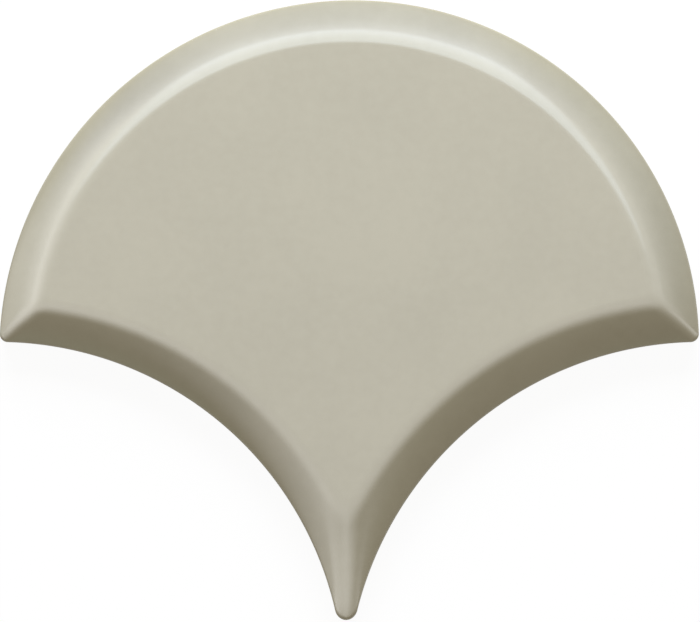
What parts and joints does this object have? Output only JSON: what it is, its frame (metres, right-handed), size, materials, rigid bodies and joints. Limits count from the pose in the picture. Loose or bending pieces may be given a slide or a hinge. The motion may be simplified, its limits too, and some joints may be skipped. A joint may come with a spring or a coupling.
{
  "type": "fish scale tile",
  "caption": "Glazed ceramic wall tile in a fish scale shape: round top, hollow bays that take the neighbouring tiles, blunt tip, soft bevel round the flat face, ribbed back.",
  "frame": {"origin": "centre of the round top's arc, in the plane of the back that rests on the wall or floor", "axes": "+X to the right across the tile, +Y from the tip towards the round top, +Z out of the glazed face"},
  "size_m": [0.1498, 0.1328, 0.0095],
  "materials": {
    "glaze": "glossy transparent-over-opaque glaze in a warm grey, fired on",
    "biscuit": "bare fired clay body, matte and slightly dusty"
  },
  "bodies": {
    "root": {"fish_scale_tile": "glaze"}
  },
  "joints": []
}
